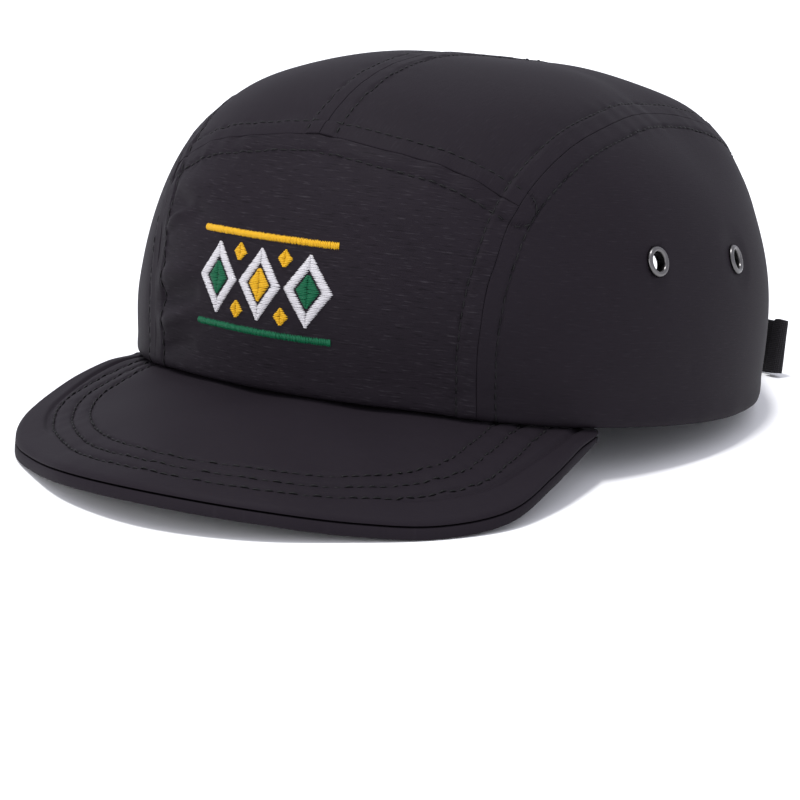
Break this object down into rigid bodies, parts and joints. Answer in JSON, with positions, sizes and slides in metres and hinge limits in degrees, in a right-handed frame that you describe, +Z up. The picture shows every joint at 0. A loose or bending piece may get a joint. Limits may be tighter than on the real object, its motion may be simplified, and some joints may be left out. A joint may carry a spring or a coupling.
{
  "type": "five panel cap",
  "caption": "Soft nylon camp cap: low boxy crown of sewn panels, flat stitched peak, metal eyelets and a webbing strap across the rear opening.",
  "frame": {"origin": "centre of the bounding box on the ground that the cap rests on", "axes": "+Z up, the peak points to -Y, +X is the wearer's left"},
  "size_m": [0.1676, 0.265, 0.0981],
  "materials": {
    "nylon": "thin charcoal-black nylon with a soft sheen and a fine slubbed weave",
    "band": "plain black cotton twill",
    "webbing": "ribbed black webbing",
    "slider": "satin black moulding",
    "eyelet": "dull gunmetal-grey rolled metal",
    "thread": "black sewing thread",
    "thread_yellow": "golden yellow embroidery thread",
    "thread_white": "white embroidery thread",
    "thread_green": "deep green embroidery thread"
  },
  "bodies": {
    "root": {"front_panel": "nylon", "side_panel_left": "nylon", "side_panel_right": "nylon", "top_panel_left": "nylon", "top_panel_right": "nylon", "peak_upper": "nylon", "peak_under": "nylon", "sweatband": "band", "strap": "webbing", "strap_tab": "webbing", "slider": "slider", "eyelet_left_front": "eyelet", "eyelet_right_front": "eyelet", "eyelet_left_rear": "eyelet", "eyelet_right_rear": "eyelet"}
  },
  "joints": []
}
